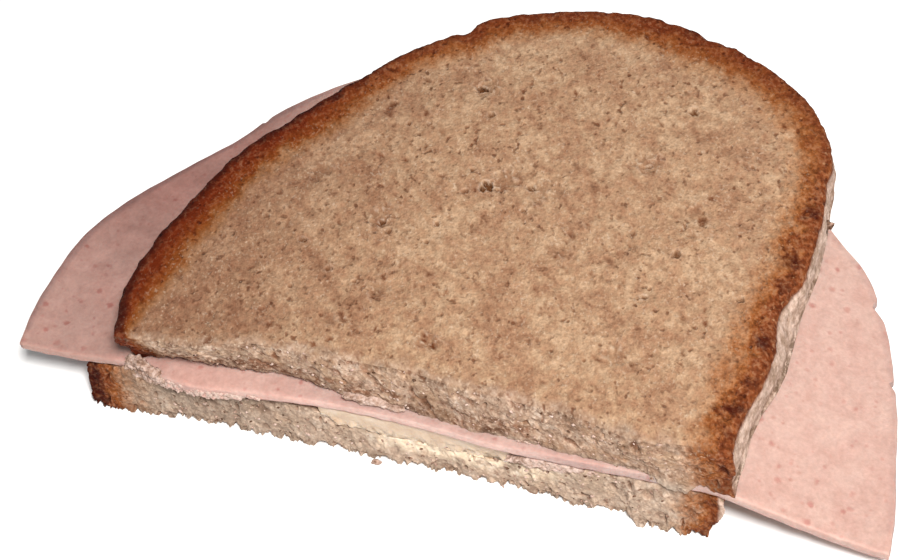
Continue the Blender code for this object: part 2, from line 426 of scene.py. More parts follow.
# noise as (size, height) in mm unless said otherwise
relief = {
    "outline": [(2.4, 0.26), (1.1, 0.16)],
    "topSwell": (4.5, 0.14),
    "topPores": [(1.7, 0.07), (0.8, 0.05)],
    "topPits": 0.2,
    "dents": 0.13,
    "cutLumps": (3.0, 0.2),
    "cutGrain": (0.9, 0.32),
    "cutSwell": (6, 0.3),
    "cutPits": 0.5,
    "cutHollows": 0.3,
    "crustLumps": (3.0, 0.2),
    "crustGrain": (1.25, 0.24),
    "wallLumps": [(4.5, 0.3), (0.9, 0.2)],
    "wallSinks": 0.3,  # keeps the wall inside the solid's outline
    "tearSize": 2.0,
}

# height, and how far in the crust and the cut lie at that height, mm
sideProfile = [(0, 0.9, 0.35), (0.35, 0.35, 0.1), (1.2, 0.0, 0), (3.2, -0.15, 0), (5.2, -0.1, 0),
               (6.6, 0.1, 0), (7.4, 0.4, 0.1), (7.85, 0.85, 0.45), (8.0, 1.5, 1.0)]
spacing = 0.35  # between the points of an outline, mm
cutTone = 0.96  # how bright the cut is beside the top
nominal = 8.0  # height of a slice while it is shaped, mm
crumbTurn = 31  # which way the pores lie, degrees


def sliceRing(look):
    # the slice's outline, clockwise, with the way in at each point and which points are cut
    run = smoothRun(look["crust"], spacing)
    way = np.gradient(run, axis=0)
    way /= np.linalg.norm(way, axis=1)[:, None]
    inward = np.column_stack([way[:, 1], -way[:, 0]])
    for spot, width, depth in look["notches"]:
        away = np.linalg.norm(run - spot, axis=1) / width
        run = run + inward * (depth * np.exp(-away**2))[:, None]
    flat = np.column_stack([run, np.zeros(len(run))])
    uneven = sum(height * noise(flat, size, look["seed"] + 1 + k)
                 for k, (size, height) in enumerate(relief["outline"]))
    run = run + inward * (uneven * ease(run[:, 1] / 3) * ease((run[-1][0] - 3 - run[:, 0]) / 8))[:, None]
    left, right = run[0], run[-1]
    cutCount = int(np.linalg.norm(right - left) / spacing)
    share = np.arange(1, cutCount)[:, None] / cutCount
    cut = right + (left - right) * share
    ring = np.vstack([run, cut])
    inward = np.vstack([inward, np.tile((0.0, 1.0), (len(cut), 1))])
    isCut = np.concatenate([np.zeros(len(run)), np.ones(len(cut))])
    for corner, sideways in ((0, 1), (len(run) - 1, -1)):
        inward[corner] = (sideways, 1)
        isCut[corner] = 0.5
    return run, ring, inward, isCut


def sliceBlank(look):
    # a slice with rounded crust edges and plain faces
    run, ring, inward, isCut = sliceRing(look)
    levels = []
    for height, crustIn, cutIn in sideProfile:
        inset = crustIn + (cutIn - crustIn) * isCut
        levels.append(np.column_stack([ring + inward * inset[:, None], np.full(len(ring), height)]))
    return evenBlank(levels, look["voxel"]), run


def crustDistance(run, points):
    tree = kdtree.KDTree(len(run))
    for index, (x, y) in enumerate(run):
        tree.insert((x, y, 0), index)
    tree.balance()
    return np.array([tree.find((x, y, 0))[2] for x, y in points[:, :2]])


def sunkSpots(points, spots, depth, seed):
    # how deep each point lies in the spots, mm, with ragged borders. A spot is x, y, reach
    sunk = np.zeros(len(points))
    ragged = 1 + 1.0 * noise(points, 0.6, seed) + 0.5 * noise(points, 1.5, seed + 1)
    for x, y, reach in spots:
        far = np.hypot(points[:, 0] - x, points[:, 1] - y)
        near = far < reach * 2.2
        bite = ease(1.7 * (1 - far[near] / (reach * ragged[near].clip(0.25, 2))))
        sunk[near] = np.maximum(sunk[near], depth * reach * bite)
    return sunk


def creased(points, size, seed):
    # rounded lumps with sharp creases between them, about 0 to 1
    return np.abs(noise(points, size, seed)) * 1.6


def nearSpots(points, spots, margin):
    close = np.zeros(len(points), bool)
    for x, y, reach in spots:
        close |= np.hypot(points[:, 0] - x, points[:, 1] - y) < reach + margin
    return close


def warped(points, amount, size, seed):
    return points + amount * np.stack([noise(points, size, seed + k) for k in (0, 1, 2)], 1)


def drawnOut(points, along):
    # the crumb's pores are a little longer towards the far left than across it
    turn = math.radians(crumbTurn)
    c, s = math.cos(turn), math.sin(turn)
    across = points[:, 0] * c + points[:, 1] * s
    lengthways = (points[:, 1] * c - points[:, 0] * s) / along
    return np.column_stack([across, lengthways, points[:, 2]])


def baseShift(look, run, p, rise):
    # the loaf's base isn't quite upright: its foot and its top edge wander apart
    y = p[:, 1]
    side = run[(run[:, 0] > run[-1][0] - 4) & (run[:, 1] < 52)][::-1]
    plain = np.interp(y, side[:, 1], side[:, 0])
    foot = np.interp(y, *np.array(look["baseFoot"]).T) + 0.6 * ease(1 - p[:, 2] / 0.9)
    wanted = foot + (np.interp(y, *np.array(look["baseTop"]).T) - foot) * ease(rise * 1.15)
    return (wanted - plain) * ease((p[:, 0] - plain + 9) / 8) * ease((52 - y) / 5)


def realSize(look, run, p, rise):
    # the blank at its real height, with the knife's waves and the base's lean
    x, y, q = p[:, 0], p[:, 1], p.copy()
    thickness = look["thickness"] + look["grows"] * (x - look["crust"][0][0]) / 90
    thickness += 0.2 * noise(p * (1, 1, 0), 17, look["seed"] * 100 + 3) - 0.2
    q[:, 2] = look["foot"] + rise * thickness
    wave = cutWave(look["cutFoot"], x) * (1 - rise) + cutWave(look["cutTop"], x) * rise
    q[:, 1] += wave * (1 - ease(y / 16))
    q[:, 0] += baseShift(look, run, p, rise)
    return q


def whereCrust(look, p, fromCrust, isCut, seed):
    # how baked the bread is, how far its burn goes with painted shade on the round left side, and where
    # its base and its round side are
    upper = look is upperSlice
    x, y = p[:, 0], p[:, 1]
    base = ease((x - look["crust"][-1][0] + 16) / 12) * ease((62 - y) / 18)
    roundSide = ease((32 - x) / 16) * (0.5 + 0.5 * ease((58 - y) / 16))
    corner = 3.2 * ease(y / 12) - 2.4 * ease(1.1 - y / 9) if upper else 1.9
    width = 6.3 + 1.2 * base + 1.7 * ease((y - 50) / 12) + corner * roundSide
    width += look["cutCrust"] * roundSide * isCut + look["rightCrust"] * ease((x - 48) / 16)
    width *= 1 + 0.14 * noise(p, 6.0, seed + 1) + 0.12 * noise(p, 2.0, seed + 2)
    crust = ease(1.05 - fromCrust / width)

    # on the round left side the burn also holds painted shade, darker where less light falls on the crust
    scorch = (0.15 + 0.8 * roundSide - 0.1 * base) * ease(1.35 - fromCrust / 2.5)
    scorch += 0.2 * noise(p, 4, seed + 3)
    scorch += (0.12 + 0.18 * roundSide) * (1 - base) * ease(1.3 - fromCrust / 0.9)
    scorch += 0.22 * base * ease((24 - y) / 8) * ease(1.6 - fromCrust / 3) * look["baseScorch"]
    scorch += 0.6 * roundSide * ease(1.2 - fromCrust / (1.5 + 0.8 * ease(1.5 - y / 10)))
    scorch *= 1 - 0.7 * isCut * ease(fromCrust / 1.6)
    if upper:  # its left corner is only browned where the knife went through
        scorch *= 1 - 0.85 * roundSide * ease((x + 1.6) / 1.2) * ease((2.2 - y) / 1.5)
    scorch += 0.05 * ease(1.2 - fromCrust / 4) * isCut + 0.36 * sunkSpots(p, look["burns"], 1.0, seed + 5)
    return crust, np.clip(scorch, 0, 1), base, roundSide


def topRelief(look, p, seed):
    # the upper face: a gentle swell, ragged pits, shallow dents and deep holes
    long = drawnOut(warped(p, 0.6, 2.0, seed + 4), 1.35)
    size, height = relief["topSwell"]
    swell = height * roughNoise(p, size, seed + 7, 2)
    for k, (size, height) in enumerate(relief["topPores"]):
        swell += height * noise(long, size, seed + 8 + k)
    pits = ease((noise(long, 1.25, seed + 10) - 0.5) / 0.3) * ease(0.9 + noise(p, 6, seed + 11))
    pits = np.maximum(pits, 0.8 * ease((noise(long, 0.8, seed + 12) - 0.56) / 0.25))
    dents = sunkSpots(p, look["dents"], relief["dents"], seed + 13)
    return swell, pits, dents, sunkSpots(p, look["holes"], 1.0, seed + 15)


def cutRelief(look, p, seed):
    # the cut: grains, deep pits and torn hollows that run down to the right
    loose = warped(p, 0.5, 1.7, seed + 20) * (1, 1, 0.7)
    downhill = np.column_stack([0.5 * loose[:, 0] - 0.35 * loose[:, 2], loose[:, 1],
                                0.62 * loose[:, 0] + 0.78 * loose[:, 2]])
    size, height = relief["cutLumps"]
    torn = height * roughNoise(loose, size, seed + 23, 2, 0.5) + 0.08 * noise(loose, 1.1, seed + 24)
    size, height = relief["cutGrain"]
    lump, whose = grains(warped(p, 0.4, 0.9, seed + 26), size, seed + 28)
    torn += height * (whose - 0.5) * ease(lump * 2.2) + 0.06 * ease(lump * 3) - 0.04
    size, height = relief["cutSwell"]
    torn += height * noise(p, size, seed + 35)
    hollows = ease((noise(downhill, 1.5, seed + 32) - 0.22) / 0.3) * ease(0.8 + noise(p, 7, seed + 33))
    pits = ease((noise(loose, 1.2, seed + 34) - 0.42) / 0.3)
    torn -= relief["cutPits"] * pits + relief["cutHollows"] * hollows
    # random tone per grain, with painted shade in the creases between grains
    grainTone = 0.26 * (whose - 0.5) - 0.08 * (1 - ease(lump * 3))
    return torn, np.maximum(0.8 * pits, hollows * look["hollowTone"]), grainTone


def crustRelief(p, base, isCut, upper, seed):
    # coarsest at the loaf's base and finest round the left corner
    size, height = relief["crustGrain"]
    heart, who = grains(warped(p, 0.5, 1.2, seed + 36), size, seed + 38)
    lumps = height * (who - 0.5) * ease(heart * 2.2)
    size, height = relief["crustLumps"]
    lumps += height * roughNoise(p, size, seed + 40, 2)
    lumps += 0.1 * noise(p, 0.7, seed + 43) - 0.25 * ease((noise(p, 1.2, seed + 41) - 0.45) / 0.25)
    coarse = 0.35 + 0.6 * base + 0.25 * ease((p[:, 1] - 18) / 14) * (1 - base)
    if not upper:
        coarse = np.maximum(coarse, 0.85 * isCut)
    return lumps * coarse, coarse


def raggedEdges(look, p, q, rise, seed):
    # the torn lower edge of the cut, and crumb that hangs over the filling or stands up round it
    x, y, z = p.T
    edge = ease(1 - z / 1.6) * ease(1.3 - y / 2.0)
    tear = np.maximum(roughNoise(p * (1, 0.4, 0.4), relief["tearSize"], seed + 50, 4, 0.8), -0.6)
    lip = cutWave(look["lip"], x)
    if look is upperSlice:
        q[:, 2] -= edge * (lip + 0.45 * tear * (x > 2))
        q[:, 1] -= edge * 0.8 * np.maximum(lip - 0.9, 0)
        return
    ridge = ease((rise - 0.75) / 0.22) * ease(1.5 - y / 0.9)
    ridge *= lip * (0.8 + 0.9 * noise(p * (1, 0.3, 0.3), 1.3, seed + 52))
    q[:, 2] += edge * (0.3 + 0.8 * tear)
    q[:, 1] += edge * (0.6 * tear - 0.05)
    q[:, 2] += ridge - cheeseHollow(x, y) * ease(rise * 3 - 2)
    q[:, 1] -= 0.3 * np.clip(ridge, 0, 1)
    q[:, 2] = np.maximum(q[:, 2], 0)


def borderTones(look, p, q, base, roundSide, steep, isCut, seed):
    # flour and its hem on the base, pale strips and a band of painted shade along the cut, the round
    # side's tone
    x, y, z = p.T
    flour = base * steep * ease(1.5 + 0.8 * noise(p, 2.6, seed + 60)) * ease((y + look["flourStart"]) / 2)
    if look is upperSlice:
        fromEdge = np.minimum(z, 1.7 * (nominal - z))
        pale = 0.7 * ease(1.6 - z / 0.7)
        # a band on the upper cut where the pits' painted shade adds darker blotches
        reddish = ease(1.6 - np.abs(z - 2.3) / 1.5) * isCut * (1 - 0.7 * ease((x - 58) / 8))
        roundTone = np.maximum(roundSide, 0.6 * ease((y - 58) / 10))
    else:
        flour = np.maximum(flour, ease((q[:, 0] - 85.5) / 0.6) * ease(1.5 - y))
        fromEdge, pale, reddish, roundTone = z, look["cutPale"], 0 * z, 0.2 * roundSide
    hem = ease(1.5 - fromEdge / 1.5) * ease(0.7 + 1.3 * noise(p, 2.6, seed + 61))
    return {"flour": flour, "hem": hem, "pale": pale * isCut, "foot": reddish, "round": roundTone}


def sliceMesh(look):
    # the blank with few faces on its hidden sides and more on the cut and round the holes
    mesh, run = sliceBlank(look)
    p = relaxed(pointsOf(mesh), edgesOf(mesh), 3)
    n = normalsOf(mesh, p)
    flat = n[:, 2] < -0.8 if look is upperSlice else np.abs(n[:, 2]) > 0.8
    hidden = flat & (crustDistance(run, p) > 2.5) & (p[:, 1] > look["hiddenFrom"])
    mesh = thinned(mesh, hidden)
    p = pointsOf(mesh)
    holed = nearSpots(p, look["holes"], 0.6) & (p[:, 2] > nominal - 0.3)
    return finer(mesh, (p[:, 1] < 1.3) & (p[:, 2] < nominal - 0.1) | holed), run


def shapeSlice(look, material, smear=None):
    # p are the points of the plain slice, q where they end up and n the normals
    seed = look["seed"] * 100
    upper = look is upperSlice
    mesh, run = sliceMesh(look)
    edges = edgesOf(mesh)
    p = relaxed(pointsOf(mesh), edges, 1)
    n = normalsOf(mesh, p)
    rise = p[:, 2] / nominal
    fromCrust = crustDistance(run, p)
    isTop = ease((n[:, 2] - 0.45) / 0.35)
    isUnder = ease((-n[:, 2] - 0.45) / 0.35)
    isCut = ease((-n[:, 1] - 0.3) / 0.4) * ease(1.6 - p[:, 1])
    crust, scorch, base, roundSide = whereCrust(look, p, fromCrust, isCut, seed)
    nearWall = ease((1.4 - fromCrust) / 0.8) * (1 - isCut)
    wall = ease((0.55 - np.abs(n[:, 2])) / 0.3) * nearWall
    steep = ease((0.4 - n[:, 2]) / 0.25) * nearWall

    q = realSize(look, run, p, rise)
    n = normalsOf(mesh, q)

    swell, pits, dents, holes = topRelief(look, p, seed)
    torn, cutPits, grainTone = cutRelief(look, p, seed)
    crustLumps, coarse = crustRelief(p, base, isCut, upper, seed)
    wallLumps = sum(height * roughNoise(p, size, seed + 45 + k, 2)
                    for k, (size, height) in enumerate(relief["wallLumps"])) * base
    fray = isTop * ease(1.3 - p[:, 1] / 2.0 + 0.6 * noise(p, 2.4, seed + 47)) * (1 - crust)
    onCrust = np.maximum(wall, crust) * (1 - isCut)
    out = swell * isTop * (1 - crust) + torn * np.maximum(isCut, 0.45 * fray) + wallLumps * wall
    out += crustLumps * onCrust * (1 - base * steep)
    out -= relief["wallSinks"] * wall * (1 - isCut)
    q += n * (out * (1 - isUnder * 0.9))[:, None]
    q[:, 2] -= (relief["topPits"] * pits + dents + holes) * isTop * (1 - 0.6 * crust)
    raggedEdges(look, p, q, rise, seed)
    n = normalsOf(mesh, q)

    # what the material needs to know at each point
    # tone: the cut a little darker than the top and brighter towards its foot, random per grain with
    # painted shade in the creases, painted light on the cut's downward faces, and painted shade darkening
    # the lower slice's cut towards the left
    tone = 1 + (cutTone - 1) * np.maximum(isCut, fray) + 0.1 * (isCut * ease(0.8 - rise) - 0.3)
    tone += isCut * (grainTone + 0.3 * ease(-n[:, 2] / 0.7))
    if not upper:
        tone -= 0.16 * isCut * ease((26 - p[:, 0]) / 12)
    setValues(mesh, crust=crust, scorch=scorch, tone=tone, coarse=coarse, tornPits=cutPits * isCut,
              cut=np.maximum(isCut, 0.7 * fray), cavity=hollowness(q, edges, n, 6),
              hole=np.clip(holes * 1.3, 0, 1), pits=np.clip(pits * isTop + dents * 1.6, 0, 1.3),
              smear=smear(q) * isCut if smear else 0 * rise,
              **borderTones(look, p, q, base, roundSide, steep, isCut, seed))
    finishPiece(look["node"] + "_crumb", mesh, material, look["node"], look["node"])
    return q, n, isCut * (1 - ease(crust * 3))


breadTones = {
    "crumb": [(0.08, (173, 128, 98)), (0.34, (191, 148, 116)), (0.55, (192, 151, 118)),
              (0.85, (210, 172, 138))],
    "torn": [(0.32, (146, 110, 88)), (0.45, (186, 152, 128)), (0.58, (216, 184, 160)),
             (0.7, (244, 220, 200))],
    "crust": [(0.04, (190, 140, 100)), (0.2, (184, 122, 74)), (0.42, (170, 104, 55)),
              (0.68, (160, 94, 48)), (0.95, (134, 68, 34))],
    "roundCrust": [(0.04, (176, 126, 86)), (0.2, (160, 104, 56)), (0.38, (146, 82, 36)),
                   (0.6, (132, 60, 20)), (0.85, (116, 42, 12))],
    "scorched": (70, 18, 6),
    # painted highlight on the tops of the crust's grains
    "grain": (200, 152, 114),
    "greyed": (212, 194, 176),
    "hole": (98, 57, 27),
    "flour": [(0.28, (158, 132, 108)), (0.42, (200, 168, 148)), (0.6, (238, 208, 190))],
    "stain": (140, 118, 92),
    "smear": [(0.3, (226, 198, 168)), (0.55, (246, 226, 200)), (0.75, (254, 243, 228))],
    "pit": (152, 106, 76),
    "sparkle": (246, 196, 148),
    "speck": (112, 86, 64),
    "tooth": (104, 78, 62),
    "proud": (240, 216, 196),
    "fleck": (244, 216, 190),
    "browner": (0.64, 0.54, 0.52, 1),
    "bright": 0.63,
    "smearBright": 0.63 * 1.36,
}


def crumbColor(r, where, grainy, blotch, cheesy):
    # paler and lumpier on the cut, and creamy where cheese was dragged over it
    tones, cut = breadTones, r["cut"]
    mottled = r.calc("ADD", r.times(r.noise(where, 7, 2, 0.5), 0.4), r.times(blotch, 0.6))
    crumb = r.ramp(r.remap(mottled, 0.37, 0.63), tones["crumb"])
    onCut = r.stretched(r.inMm, (1.0, 1.0, 0.7))
    lumpy = r.calc("ADD", r.times(r.noise(onCut, 0.7, 2, 0.6), 0.65),
                   r.times(r.noise(onCut, 2.4, 2, 0.5), 0.4))
    torn = r.ramp(lumpy, tones["torn"])
    torn = r.mixed(r.remap(r.noise(where, 3.4, 2, 0.5), 0.5, 0.62, 0, 0.55), torn, crumb)
    torn = r.shaded(torn, r.remap(r.noise(where, 4.2, 2, 0.5), 0.35, 0.65, 0.84, 1.16))
    torn = r.mixed(r["pale"], torn, tones["greyed"])
    crumb = r.mixed(r.times(cut, 0.9), crumb, torn)
    crumb = r.mixed(r.times(r["smear"], 0.7), crumb, cheesy)
    crumb = r.shaded(crumb, grainy)
    # painted shade: the crumb off the cut darkens towards the left, where less light falls
    browner = r.times(r.remap(r.across(), -46, -4, 1, 0.05, True), r.without(cut))
    crumb = r.tinted(browner, crumb, tones["browner"])
    # the tone carries painted light and shade on the cut
    return r.shaded(crumb, r["tone"])


def crustColor(r, where, small, grit):
    # brown in many tones, with dark patches of burn and painted shade, painted shade and highlights on
    # its grains, painted glints, and how far it covers
    tones, crust, roundTone = breadTones, r["crust"], r["round"]
    patchy = r.calc("SUBTRACT", r.noise(where, 2.6, 2, 0.5), 0.5)
    uneven = r.calc("SUBTRACT", r.noise(where, 0.85, 3, 0.65), 0.5)
    rough = r.calc("ADD", r.times(patchy, 0.9), r.times(uneven, 0.55))
    rough = r.times(rough, r.remap(roundTone, 0, 1, 1.0, 0.6))
    baked = r.calc("ADD", crust, r.times(rough, r.remap(crust, 0, 0.4)))
    brown = r.mixed(roundTone, r.ramp(baked, tones["crust"]), r.ramp(baked, tones["roundCrust"]))
    burnt = r.remap(r.calc("ADD", r["scorch"], r.times(rough, 1.5)), 0.25, 1.0)
    brown = r.mixed(burnt, brown, tones["scorched"])
    coarse = r.times(r["coarse"], r.remap(burnt, 0, 1, 1, 0.35))
    # painted shade in the lows of the crust's grains, with painted highlights on their tops
    knobbly = r.times(r.remap(small, 0.3, 0.55, 0.5, 1.1), r.remap(grit, 0.3, 0.7, 0.85, 1.15))
    brown = r.mixed(coarse, brown, r.shaded(brown, knobbly))
    brown = r.mixed(r.times(coarse, r.remap(small, 0.5, 0.72, 0, 0.4)), brown, tones["grain"])
    # painted glints: bright specks on the crust's grains where light would catch them
    bead = r.remap(r.noise(where, 0.45, 1, 0.5), 0.64, 0.76, 0, 0.35)
    bead = r.times(r.times(bead, r.remap(patchy, -0.1, 0.1, 0.2, 1.0)), coarse)
    brown = r.mixed(bead, brown, tones["sparkle"])
    soft = r.remap(roundTone, 0, 1, 0.7, 0.42)
    return brown, r.remap(r.calc("DIVIDE", baked, soft), 0.02, 1)


def flourColor(r, where, grainy):
    # the floury base, stained here and there, with a dotted hem
    tones = breadTones
    onWall = r.stretched(r.inMm, (1.0, 0.9, 0.7))
    dusty = r.ramp(r.noise(onWall, 1.2, 4, 0.7), tones["flour"])
    dusty = r.mixed(0.9, dusty, r.shaded(dusty, grainy))
    stains = r.remap(r.noise(onWall, 1.1, 3, 0.6), 0.55, 0.68, 0, 0.5)
    dusty = r.mixed(stains, dusty, tones["stain"])
    dotted = r.remap(r.noise(where, 0.7, 3, 0.7), 0.4, 0.54, 0, 0.9)
    return r.mixed(r.times(r["hem"], dotted), dusty, tones["speck"])


def howDeep(r, grit, blotch, spots):
    # painted shade in the pits in the crust and the crumb, from the mesh and from noise: darker where the
    # mesh is sunk, in pits, dents, torn pits, the band along the upper cut and noise spots
    sunk = r.remap(r["cavity"], 0.02, 0.22)
    deep = r.times(sunk, r.remap(r["cut"], 0, 1, 0.5, 0.3))
    deep = r.most(deep, r.times(r["pits"], r.remap(grit, 0.3, 0.7, 0.6, 1.0)))
    deep = r.most(deep, r.times(r["tornPits"], 0.8))
    deep = r.most(deep, r.times(r["foot"], r.remap(blotch, 0.4, 0.62, 0, 0.8, True)))
    deep = r.most(deep, r.times(spots, 0.8), True)
    return r.times(deep, r.remap(r["smear"], 0, 1, 1, 0.3))


def paleFlecks(r, where):
    # tiny ones, here more and there fewer: painted glints on the top, pale crumb on the cut
    fleck = r.times(r.remap(r.noise(where, 0.42, 1), 0.58, 0.74),
                    r.remap(r.noise(where, 3, 2), 0.36, 0.64, 0.15, 0.75))
    fleck = r.times(fleck, r.without(r.times(r["crust"], 0.9)))
    return r.times(fleck, r.remap(r["cut"], 0, 1, 0.52, 1.0))


def breadMaterial():
    r, tones = Recipe("bread"), breadTones
    turned = r.add("ShaderNodeVectorRotate", {"Vector": r.inMm, "Angle": -math.radians(crumbTurn)},
                   rotation_type="Z_AXIS").outputs[0]
    where = r.stretched(turned, (1.0, 0.74, 1.0))
    blotch = r.noise(where, 1.5, 3, 0.6)
    small = r.noise(where, 0.62, 2, 0.6)
    grit = r.noise(where, 0.3, 1, 0.5)
    # lighter on the fine bump's highs and darker in its lows: painted shade of the fine relief
    grainy = r.times(r.remap(small, 0.3, 0.7, 0.82, 1.16), r.remap(grit, 0.3, 0.7, 0.9, 1.1))
    cut, smear, flour = r["cut"], r["smear"], r["flour"]
    cheesy = r.ramp(r.noise(where, 1.2, 3, 0.6), tones["smear"])
    brown, covered = crustColor(r, where, small, grit)
    color = r.mixed(covered, crumbColor(r, where, grainy, blotch, cheesy), brown)
    color = r.mixed(flour, color, flourColor(r, where, grainy))

    # painted shade makes the pits darker and redder, and a painted highlight makes what stands out paler
    spots = r.times(r.remap(r.noise(where, 0.8, 1, 0.5), 0.6, 0.74),
                    r.remap(r.noise(where, 4.5, 2), 0.38, 0.62, 0.4, 1.0))
    spots = r.times(spots, r.without(flour))
    color = r.tinted(howDeep(r, grit, blotch, spots), color, tones["pit"])
    color = r.mixed(r.times(smear, 0.8), color, cheesy)
    # painted shade in the deep holes
    holed = r.calc("ADD", r["hole"], r.times(small, 0.8))
    color = r.mixed(r.remap(holed, 0.58, 1.3, 0, 0.95), color, tones["hole"])
    toothed = r.times(r.times(r["hem"], cut), r.remap(small, 0.45, 0.6, 0, 0.75))
    color = r.mixed(toothed, color, tones["tooth"])
    # painted highlight: paler where the crumb stands out
    proud = r.times(r.remap(r["cavity"], -0.02, -0.2, 0, 0.4), r.without(r["crust"]))
    color = r.mixed(proud, color, tones["proud"])
    color = r.mixed(paleFlecks(r, where), color, tones["fleck"])
    color = r.shaded(color, r.remap(smear, 0, 1, tones["bright"], tones["smearBright"]))

    height = r.calc("ADD", r.times(grit, 0.25), r.times(small, 0.75))
    height = r.calc("SUBTRACT", height, r.times(spots, 0.5))
    height = r.times(height, r.without(r.times(r.most(flour, cut), 0.6)))
    return r.finish({
        "Base Color": color, "Roughness": r.remap(grit, 0.58, 0.72, 0.9, 0.4),
        "Specular IOR Level": 0.08, "Normal": r.bump(height, 0.0005, 0.65)})


cheese = {
    "outline": [(28.3, 1.0), (27, 10), (27.5, 26), (33, 41), (47, 47), (60, 41), (66, 26), (66.5, 10),
                (65.6, 0.9)],
    "top": 10.2,
    "hollow": 2.9,  # how deep the cheese sinks into the lower slice
    "middle": (47, 22),  # of the hollow
    "reach": (24, 20),
    "voxel": 0.25,
    "tones": [(0.3, (206, 176, 148)), (0.5, (220, 194, 166)), (0.7, (230, 208, 184))],
    # painted shade for the creases
    "creases": (176, 138, 98),
    "tint": (0.72, 0.71, 0.72, 1),
}


def cheeseHollow(x, y):
    across = np.abs(x - cheese["middle"][0]) / cheese["reach"][0]
    deep = np.maximum(y - cheese["middle"][1], 0) / cheese["reach"][1]
    return cheese["hollow"] * ease(1.6 * (1 - across)) * ease(2 * (1.6 - deep))


def breadTop(x, y):
    return lowerSlice["thickness"] + 0.1 + lowerSlice["grows"] * (x + 8.4) / 93.4 - cheeseHollow(x, y)


def cheeseSmear(q):
    # cheese dragged down over the cut crumb by the knife
    across = ease(1.5 - np.abs(q[:, 0] - 50) / 13)
    low = breadTop(q[:, 0], q[:, 1]) - q[:, 2]
    return across * ease(1.25 - low / 3.2) * ease(0.75 + 1.1 * roughNoise(q, 2.0, 77, 2))


def shapeCheese(material):
    run = smoothRun(cheese["outline"], spacing)
    high = 3.0  # of the blank, mm
    levels = [np.column_stack([run, np.full(len(run), z)]) for z in (0, high)]
    mesh = evenBlank(levels, cheese["voxel"])
    p = pointsOf(mesh)
    mesh = thinned(mesh, (p[:, 1] > 3) & (np.abs(p[:, 2] - high / 2) > 1.2))
    edges = edgesOf(mesh)
    p = relaxed(pointsOf(mesh), edges, 3)
    x, y, z = p.T
    front = ease(1.5 - y / 1.5)
    crumbly = ease(1.4 - z / 1.3)
    under = breadTop(x, np.maximum(y, 0)) + 0.1 - 0.7 * front
    q = np.column_stack([x, y, under + (cheese["top"] - under) * z / high])
    n = normalsOf(mesh, q)
    lumps = 0.5 * (creased(p, 1.6, 41) - 0.5) + 0.3 * (creased(p, 0.8, 42) - 0.5)
    out = 0.05 * roughNoise(p, 3, 43, 2) + front * crumbly * (lumps + 0.25 * noise(p, 2.2, 44))
    q += n * out[:, None]
    q[:, 2] = np.minimum(q[:, 2], cheese["top"] + 0.05)
    n = normalsOf(mesh, q)
    setValues(mesh, cavity=hollowness(q, edges, n, 8))
    finishPiece("cheese_layer_soft", mesh, material, "cheese_layer", "cheese")


def cheeseMaterial():
    r = Recipe("cheese")
    tone = r.ramp(r.noise(r.inMm, 2.5, 3, 0.6), cheese["tones"])
    # painted shade in the creases, where the mesh is sunk
    tone = r.mixed(r.remap(r["cavity"], 0.02, 0.25, 0, 0.3), tone, cheese["creases"])
    tone = r.tinted(1.0, tone, cheese["tint"])
    return r.finish({
        "Base Color": tone, "Roughness": 0.5, "Normal": r.bump(r.noise(r.inMm, 0.8, 4, 0.6), 0.0004, 0.5),
        "Subsurface Weight": 0.3, "Subsurface Radius": (1.0, 0.7, 0.35), "Subsurface Scale": 0.002})


sausage = {
    "middle": (44.8, 3.6),
    "rim": [(183, 63.1), (174, 64.0), (162, 64.7), (150, 63.1), (140, 62.1), (132, 63.8), (120, 65.0),
            (105, 63.6), (80, 62.6), (55, 62.4), (43, 62.2), (35, 63.6), (22, 62.5), (9, 62.0),
            (-3.6, 63.4)],
    "nicks": [(32.5, 3.2, 1.3), (20.8, 1.6, 1.1), (134.6, 1.4, 0.5)],
    "cut": [(-8, 1), (-2, 1.3), (5, 0), (11, -0.6), (20, 0.2), (33, 0.9), (46, 0.5), (58, -0.3),
            (88, -0.1)],
    "thickness": 1.6,
    "bands": [(0.1, 0.1), (0.3, 0.16), (0.5, 0.18), (0.7, 0.16), (0.9, 0.1)],  # height, bulge
    "bed": 10.5,
    "sinks": 0.9,  # how much lower the left side lies
    "droop": 6.8,  # how far the right flap hangs down
    "lift": 0.9,  # how far the left tip is raised
    "columns": 260,
    "rows": 130,
    "broadTones": [(0.35, (232, 186, 170)), (0.65, (238, 198, 182))],
    "cloudTones": [(0.3, (228, 179, 163)), (0.6, (240, 202, 186))],
    "flecks": [(2.3, 0.85, (204, 126, 114)), (1.4, 0.7, (218, 152, 140))],  # mm apart, share
    "dryRim": (184, 150, 144),
    "seam": (168, 122, 118),
    "dullTint": (0.5, 0.37, 0.37, 1),
    # painted light and shade beside the bread and on the cut side
    "tuckTints": ((1.2, 1.18, 1.2, 1), (0.92, 0.92, 0.95, 1)),  # from left to right, and so below
    "sideTints": ((0.89, 0.87, 0.87, 1), (1.22, 1.28, 1.28, 1), (0.86, 0.9, 0.92, 1)),
    "tint": (0.55, 0.55, 0.56, 1),
}


def sausageUnder(x):
    past = np.clip((x - 84) / 24, 0, 1)
    droop = sausage["droop"] * (1 - (1 - np.minimum(1.1 * past * past / (past + 0.1), 1)) ** 1.45)
    lift = sausage["lift"] * (np.maximum(-9 - x, 0) / 9) ** 1.5
    return sausage["bed"] - sausage["sinks"] * (1 - ease(x / 30)) - droop + lift


def alongRun(run, share):
    # points on a line at these shares of its length
    lengths = np.concatenate([[0], np.cumsum(np.linalg.norm(np.diff(run, axis=0), axis=1))])
    return np.column_stack([np.interp(share * lengths[-1], lengths, run[:, k]) for k in (0, 1)])


